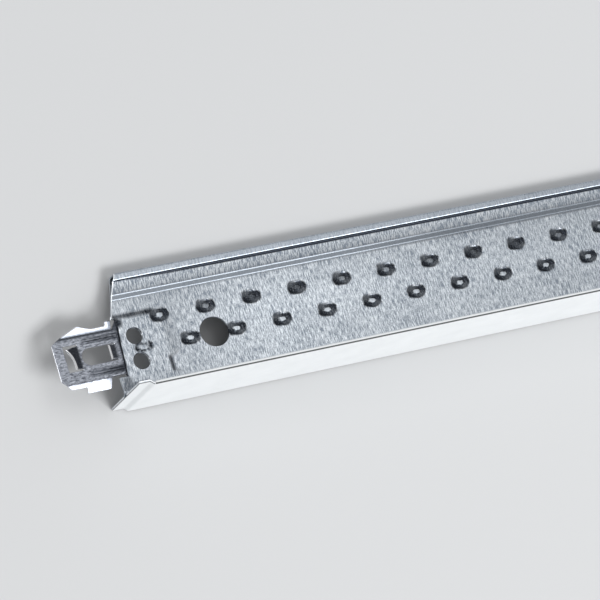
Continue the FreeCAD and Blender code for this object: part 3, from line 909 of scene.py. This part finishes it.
def cap_finish(flat):
    """Painted shade in the crease beside each hem, and a painted shadow on the bare cut edges where the
    hems end.
    """
    x, run = flat.T
    y, z = section_at(run, CAP_RUN, CAP_PATH)
    edge = FACE_WIDTH / 2 - HEM_RADIUS
    at_hem = np.abs(y) > edge - NEAR
    bare = at_hem & (HALF_FACE - np.abs(x) < HEM_STOP - BARE_SHORT)
    angle = np.degrees(np.arctan2(z - HEM_RADIUS, np.abs(y) - edge))
    return {
        "shade_and_darkening": np.where(bare, BARE_EDGE_SHADOW, np.where(at_hem, hem_crease(angle), 0)),
        "grain": np.ones(len(flat)),
        "shine": np.full(len(flat), CAP_SHINE),
        "edge": np.full(len(flat), CAP_SHINE),
    }


def cap_blank():
    """The cap's flat blank: the face, and a hem along each side that stops short of the ends."""
    hem = len(CAP_RUN) // 2 - 1
    low, high = CAP_RUN[hem], CAP_RUN[-1] - CAP_RUN[hem]
    stop = HALF_FACE - HEM_STOP
    right = [(stop, 0), (stop, low), (HALF_FACE, low), (HALF_FACE, high), (stop, high), (stop, CAP_RUN[-1])]
    outline = np.array(right + [(-x, run) for x, run in right[::-1]])
    rows, dots = long_rows(CAP_RUN)
    for end in (-1, 1):
        rows += ramp_rows(end, low, high)
    return cut_blank(outline, [], rows, dots)


# Clip

def lance_edge(z):
    """The lance's free edge, curved from its upper corner to its lower one."""
    tip, heel, low, high = LANCE
    t = np.clip((high - z) / (high - low), 0, 1)
    return tip + (heel - tip) * (1 - (1 - t) ** LANCE_CURVE)


def in_window(x, z):
    """The window, where only the lance has sheet."""
    left, root, low, high = WINDOW
    side, end = WINDOW_MARGIN
    return (x > left + side) & (x < root) & (z > low + end) & (z < high - end)


def in_slot(x, z):
    """The slot's end by the web, where only the bent tab has sheet."""
    root, low, high = SLOT
    side, end = SLOT_MARGIN
    return (x > TAB[0] - side) & (x < root) & (z > low + end) & (z < high - end)


def bend(rise):
    """A soft bend: zero before it, and after it as far as the sheet is past it."""
    return np.where(rise > BEND_SOFT, rise, np.clip(rise + BEND_SOFT, 0, None) ** 2 / (4 * BEND_SOFT))


def curl(x, root, tip):
    """How far a bent tongue has left the panel: zero at its root and one at its tip."""
    return np.clip((root - x) / (root - tip), 0, 1) ** BENT_CURL


def clip_height(x, z):
    """How far the clip's sheet stands off its panel, to the rear."""
    above = np.where(x < LUG_INSET + LUG_SHORT, z - PANEL_HIGH, -1)
    below = np.where(x < LUG_INSET, PANEL_LOW - z, -1)
    height = WING_SLOPE * (bend(below) - bend(above))
    height = height - np.where(in_window(x, z), LANCE_LIFT * curl(x, WINDOW[1], LANCE[0]), 0)
    height = height - np.where(in_slot(x, z), TAB_LIFT * curl(x, SLOT[0], TAB[0]), 0)
    along = smooth((x - RIB_REACH) / RIB_HALF) * smooth((LUG_INSET + RIB_STOP - x) / RIB_HALF)
    for middle in RIBS:
        height = height - RIB_PROUD * along * (1 - smooth(np.abs(z - middle) / RIB_HALF))
    return height


def clip_shape(flat):
    """The clip pressed from its blank."""
    x, z = flat.T
    return np.column_stack((x, clip_height(x, z), z))


def rib_shade(x, z):
    """Painted shade on the ribs: along their sides, on their crowns and at their closed ends."""
    on_rib = fade(x, RIB_REACH, RIB_REACH + RIB_FADE)
    side, side_half = RIB_SIDE
    crown, crown_shade = RIB_CROWN
    end, end_half = RIB_END
    marks = []
    for middle in RIBS:
        off = np.abs(z - middle)
        marks.append(line(off - side, side_half) * on_rib)
        marks.append(crown_shade * (off < crown) * on_rib)
        marks.append(line(x - RIB_REACH - end, end_half) * (off < RIB_END_HALF))
    return np.maximum.reduce(marks)


def clip_finish(flat):
    """Painted shade, streaks and brightness of the clip.

    Painted shade is on the ribs, along the upper bend, on the lug, as a painted shadow beside the web's
    end, and on the lance and the bent tab, whose free edges get a painted highlight. The wings have faint
    streaks.
    """
    x, z = flat.T
    on_lance = in_window(x, z) & (x > lance_edge(z) - BENT_EDGE)
    on_tab = in_slot(x, z) & (x > TAB[0] - BENT_EDGE)
    dark_lance = fade(x - lance_edge(z), *BENT_HIGHLIGHT)
    dark_tab = fade(x - TAB[0], *BENT_HIGHLIGHT)
    bright = on_lance * (1 - dark_lance) + on_tab * (1 - dark_tab)
    fold = line(z - PANEL_HIGH, FOLD_LINE) * (x < LUG_INSET)
    lug = fade(x, *LUG_SHADE_X) * (z > PANEL_HIGH - LUG_BELOW)
    wing = (x < LUG_INSET) & ((z > PANEL_HIGH + WING_CLEAR) | (z < PANEL_LOW - WING_CLEAR))
    marks = [
        RIB_SHADE * rib_shade(x, z),
        FOLD_SHADE * fold,
        LANCE_SHADE * on_lance * dark_lance,
        BENT_TAB_SHADE * on_tab * dark_tab,
        WEB_LINE_SHADOW * line(cope_distance(x, z), WEB_LINE),
        LUG_SHADE * lug,
    ]
    return {
        "shade_and_darkening": np.maximum.reduce(marks),
        "grain": np.where(wing, WING_GRAIN, PANEL_GRAIN) * (1 - bright),
        "shine": PANEL_SHINE + (1 - PANEL_SHINE) * bright,
        "edge": np.full(len(flat), CLIP_EDGE_HIGHLIGHT),
    }


def window_loop():
    """The window's edge, round the lance."""
    left, root, low, high = WINDOW
    _, _, lance_low, lance_high = LANCE
    free_edge = [(lance_edge(z), z) for z in np.linspace(lance_high, lance_low, LANCE_POINTS)]
    frame_side = [(root, low), (left, low), (left, high), (root, high), (root, LANCE_ROOT_HIGH)]
    return np.array(frame_side + free_edge + [(root, lance_low)])


def slot_loop():
    """The keyhole slot's edge, round the bent tab."""
    root, low, high = SLOT
    tip, tab_low, tab_high = TAB
    eye = arc(EYE[:2], EYE[2], 270, 90, EYE_POINTS)
    tab = [(root, tab_high), (tip, tab_high), (tip, tab_low), (root, tab_low)]
    return np.array([(root, low), *eye, (root, high), *tab])


def clip_rows():
    """Straight edges along the wings' bends and the ribs."""
    rows = []
    for middle in (PANEL_LOW, PANEL_HIGH):
        for z in middle + np.linspace(-BEND_SOFT, BEND_SOFT, BEND_ROWS):
            rows.append(((BEND_ROW_START, z), (LUG_INSET, z)))
    for middle in RIBS:
        for z in middle + np.linspace(-RIB_HALF, RIB_HALF, RIB_ROWS):
            rows.append(((RIB_REACH + RIB_ROW_ENDS[0], z), (LUG_INSET + RIB_ROW_ENDS[1], z)))
    return rows


def clip_dots():
    """A grid of points, and lines of them beside the free edges of the lance and the tab."""
    dots = [(x, z) for x in np.arange(*CLIP_GRID_X, CLIP_GRID) for z in np.arange(*CLIP_GRID_Z, CLIP_GRID)]
    lance_dots, tab_dots = BENT_DOTS
    for offset in BENT_HIGHLIGHT:
        dots += [(lance_edge(z) + offset, z) for z in np.linspace(LANCE[2], LANCE_ROOT_HIGH, lance_dots)]
        dots += [(TAB[0] + offset, z) for z in np.linspace(TAB[1], TAB[2], tab_dots)]
    return dots


def clip_blank():
    """The clip's flat blank."""
    holes = [window_loop(), slot_loop()]
    holes += [hole((inset, height), radius, CLIP_HOLE_POINTS) for inset, height, radius in STAKE_HOLES]
    return cut_blank(rounded(CLIP_OUTLINE, CLIP_CORNER), holes, clip_rows(), clip_dots())


# Materials

def new_material(name):
    material = bpy.data.materials.new(name)
    material.use_nodes = True
    tree = material.node_tree
    return material, tree, tree.nodes["Principled BSDF"]


def node(tree, kind, settings=None, **inputs):
    """A node with its settings, and its inputs set to values or linked to sockets."""
    made = tree.nodes.new(kind)
    for key, value in (settings or {}).items():
        setattr(made, key, value)
    for key, value in inputs.items():
        socket = made.inputs[key.replace("_", " ")]
        if isinstance(value, bpy.types.NodeSocket):
            tree.links.new(value, socket)
        else:
            socket.default_value = value
    return made


def attribute(tree, name, output="Fac"):
    return node(tree, "ShaderNodeAttribute", {"attribute_name": name}).outputs[output]


def noise(tree, place, scale, detail=3.0):
    inputs = {"Vector": place, "Scale": scale, "Detail": detail, "Roughness": NOISE_ROUGHNESS}
    return node(tree, "ShaderNodeTexNoise", **inputs).outputs["Fac"]


def blend(tree, factor, first, second):
    """From the first value to the second, and past it where the factor is over 1."""
    settings = {"data_type": "FLOAT", "clamp_factor": False}
    return node(tree, "ShaderNodeMix", settings, Factor=factor, A=first, B=second).outputs["Result"]


def ramp_colours(tree, value, stops):
    """Colours at rising positions, and even between."""
    ramp = node(tree, "ShaderNodeValToRGB", Fac=value)
    elements = ramp.color_ramp.elements
    while len(elements) < len(stops):
        elements.new(1.0)
    for element, (position, colour) in zip(elements, stops):
        element.position = position
        element.color = (*colour, 1)
    return ramp.outputs["Color"]


def spread(tree, value, low, high, first, last):
    """A value that goes from first to last while another goes from low to high."""
    return node(tree, "ShaderNodeMapRange", Value=value, From_Min=low, From_Max=high,
                To_Min=first, To_Max=last).outputs["Result"]


def math_node(tree, operation, *values):
    made = tree.nodes.new("ShaderNodeMath")
    made.operation = operation
    for socket, value in zip(made.inputs, values):
        tree.links.new(value, socket)
    return made.outputs["Value"]


def add_shade_and_darkening(tree, shader, colour, dirt, amount):
    """The shader's colour, darkened by an amount towards a dark colour: painted shade, and a faint
    darkening.
    """
    made = node(tree, "ShaderNodeMix", {"data_type": "RGBA", "clamp_factor": True}, Factor=amount)
    clean, dirty = [socket for socket in made.inputs if socket.type == "RGBA"]
    tree.links.new(colour, clean)
    dirty.default_value = (*dirt, 1)
    mixed = next(socket for socket in made.outputs if socket.type == "RGBA")
    tree.links.new(mixed, shader.inputs["Base Color"])


def add_bump(tree, shader, height, strength, distance):
    bump = node(tree, "ShaderNodeBump", Height=height, Strength=strength, Distance=distance)
    tree.links.new(bump.outputs["Normal"], shader.inputs["Normal"])


def steel(name, streaks, dark, light, roughness):
    """Zinc-coated sheet: short fine streaks, specks, faint clouds and patches of deeper streaks."""
    material, tree, shader = new_material(name)
    place = attribute(tree, "blank", "Vector")
    across = node(tree, "ShaderNodeMapping", Vector=place, Scale=streaks).outputs["Vector"]
    streak = noise(tree, across, 1.0, STREAK_DETAIL)
    speck = noise(tree, place, SPECK_SCALE, STREAK_DETAIL)
    fine = blend(tree, SPECK_SHARE, streak, speck)
    streaked = blend(tree, CLOUD_SHARE, fine, noise(tree, place, CLOUD_SCALE))
    patch = spread(tree, noise(tree, place, PATCH_SCALE), *PATCHES)
    deep = spread(tree, noise(tree, across, SCORE_SCALE, STREAK_DETAIL), *SCORES)
    scored = math_node(tree, "MULTIPLY_ADD", patch, deep, streaked)
    tone = blend(tree, attribute(tree, "grain"), attribute(tree, "shine"), scored)
    low, high = STEEL_TONES
    # The top of the ramp is the painted highlight on cut and bent edges
    zinc = ramp_colours(tree, tone, [(low, dark), (high, light), (1.0, BARE_STEEL_HIGHLIGHT)])
    # Painted shade, made uneven by the specks, darkens the zinc
    uneven = math_node(tree, "MULTIPLY", attribute(tree, "shade_and_darkening"), spread(tree, speck, *SPECKED_SHADE))
    add_shade_and_darkening(tree, shader, zinc, STEEL_SHADE, uneven)
    shader.inputs["Metallic"].default_value = 1.0
    low, high, rougher, smoother = STEEL_ROUGHNESS
    rough = spread(tree, tone, low, high, roughness + rougher, roughness + smoother)
    tree.links.new(rough, shader.inputs["Roughness"])
    add_bump(tree, shader, streak, *STEEL_BUMP)
    return material


def paint(name):
    """White coil paint with a faint cloud and a slight orange peel."""
    material, tree, shader = new_material(name)
    place = attribute(tree, "blank", "Vector")
    white = ramp_colours(tree, noise(tree, place, PAINT_CLOUD), PAINT_TONES)
    # Painted shade in the hem creases and at the hems' cut ends darkens the white
    add_shade_and_darkening(tree, shader, white, PAINT_SHADE, attribute(tree, "shade_and_darkening"))
    shader.inputs["Roughness"].default_value = PAINT_ROUGHNESS
    add_bump(tree, shader, noise(tree, place, PAINT_PEEL, STREAK_DETAIL), *PAINT_BUMP)
    return material


# Pieces

def add_strip():
    """The strip, with a narrow gap between the two layers of its web."""
    material = steel("galvanised_steel", **GALVANISED)
    mesh = fold_sheet("folded_strip", strip_blank(), strip_shape, 0, LAYER_GAP - STRIP, strip_finish)
    place_piece("folded_strip", mesh, "tee_body", material)


def add_cap():
    mesh = fold_sheet("painted_cap", cap_blank(), cap_shape, 0, -CAP, cap_finish)
    place_piece("painted_cap", mesh, "face_cap", paint("white_paint"))


def add_clips():
    """The clip at each end: the right one is the left one turned half round."""
    material = steel("clip_steel", **SPRING_STEEL)
    blank = clip_blank()
    for side, end, turn in (("left", -1, 0), ("right", 1, math.pi)):
        mesh = fold_sheet(f"clip_{side}", blank, clip_shape, CLIP / 2, -CLIP / 2, clip_finish)
        place = Matrix.Translation((end * HALF_FACE * MM, 0, 0)) @ Matrix.Rotation(turn, 4, "Z")
        place_piece(f"clip_{side}", mesh, f"end_clip_{side}", material, place)


# Studio

def add_camera():
    """The photograph's view: steeply down on the lying tee, from beyond its left end."""
    data = bpy.data.cameras.new("camera")
    data.lens = LENS_MM
    data.sensor_width = SENSOR_MM
    camera = bpy.data.objects.new("camera", data)
    back = CAMERA_BACK.normalized()
    right = CAMERA_UP.cross(back).normalized()
    up = back.cross(right)
    turn = Matrix((right, up, back)).transposed()
    camera.matrix_world = Matrix.Translation(CAMERA_AT) @ turn.to_4x4()
    bpy.context.scene.collection.objects.link(camera)
    bpy.context.scene.camera = camera


def add_floor():
    mesh = bpy.data.meshes.new("floor")
    corners = [(x * FLOOR_HALF, y * FLOOR_HALF, 0) for x, y in ((-1, -1), (1, -1), (1, 1), (-1, 1))]
    mesh.from_pydata(corners, [], [(0, 1, 2, 3)])
    floor = bpy.data.objects.new("floor", mesh)
    bpy.context.scene.collection.objects.link(floor)
    material, _, shader = new_material("pale_floor")
    shader.inputs["Base Color"].default_value = FLOOR_COLOUR
    shader.inputs["Roughness"].default_value = FLOOR_ROUGHNESS
    mesh.materials.append(material)


def add_lamp(name, place, target, size, watts):
    data = bpy.data.lights.new(name, "AREA")
    data.shape = "RECTANGLE"
    data.size, data.size_y = size
    data.energy = watts
    lamp = bpy.data.objects.new(name, data)
    lamp.location = place
    aim = Vector(target) - Vector(place)
    lamp.rotation_euler = aim.to_track_quat("-Z", "Y").to_euler()
    bpy.context.scene.collection.objects.link(lamp)


def add_world():
    world = bpy.data.worlds.new("studio")
    world.use_nodes = True
    background = world.node_tree.nodes["Background"]
    background.inputs["Color"].default_value = WORLD_COLOUR
    background.inputs["Strength"].default_value = WORLD_STRENGTH
    bpy.context.scene.world = world


add_strip()
add_cap()
add_clips()
add_camera()
add_floor()
add_world()
for lamp in LAMPS:
    add_lamp(*lamp)

bpy.context.scene.view_settings.view_transform = "Standard"
